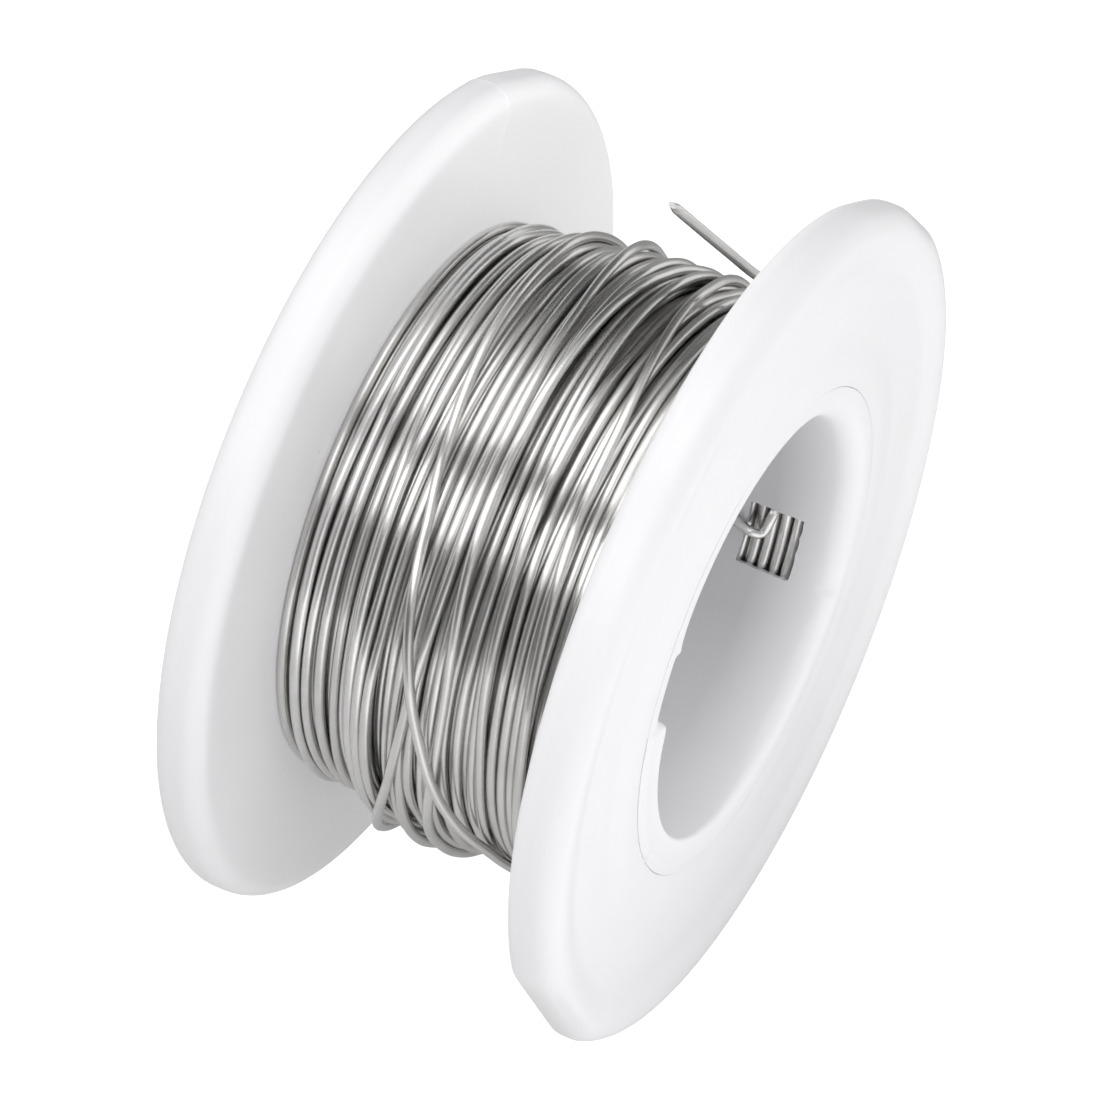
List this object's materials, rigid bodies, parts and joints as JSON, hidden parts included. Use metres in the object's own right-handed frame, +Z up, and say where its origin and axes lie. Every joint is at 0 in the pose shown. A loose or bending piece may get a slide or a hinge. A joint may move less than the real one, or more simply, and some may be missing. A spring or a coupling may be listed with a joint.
{
  "type": "solder wire spool",
  "caption": "White plastic reel with two dished flanges and a wide bore, wound with bright grey wire whose free end stands up beside a flange.",
  "frame": {"origin": "on the reel's axis, half way between the flanges' outer faces", "axes": "+X along the reel's axis, out of the flange beside the wire window and the free end; +Z up, with the reel lying on its two rims at z = -25 mm"},
  "size_m": [0.025, 0.05, 0.05],
  "materials": {
    "white_plastic": "moulded white plastic, glossy, very slightly translucent",
    "wire_metal": "bright drawn solder wire, satin"
  },
  "bodies": {
    "spool": {"hub_barrel": "white_plastic", "left_flange": "white_plastic", "right_flange": "white_plastic", "winding_layer_1": "wire_metal", "winding_layer_2": "wire_metal", "winding_layer_3": "wire_metal", "winding_layer_4": "wire_metal", "winding_layer_5": "wire_metal", "wire_start": "wire_metal", "crossing_strand": "wire_metal"},
    "loose_turn": {"last_turn": "wire_metal"},
    "tail": {"tail_middle": "wire_metal"},
    "tip": {"free_end": "wire_metal"}
  },
  "joints": [
    {"name": "unwind", "type": "hinge", "parent": "spool", "child": "loose_turn", "pos_m": [0, 0, 0], "axis": [1, 0, 0], "continuous": true},
    {"name": "tail_swing", "type": "hinge", "parent": "loose_turn", "child": "tail", "pos_m": [0.008, 0.01266, 0.01273], "axis": [0, 0.891, 0.454], "range_deg": [-30, 20]},
    {"name": "tail_bend", "type": "hinge", "parent": "tail", "child": "tip", "pos_m": [0.0049, 0.01018, 0.01759], "axis": [1, 0, 0], "range_deg": [-45, 30]}
  ]
}
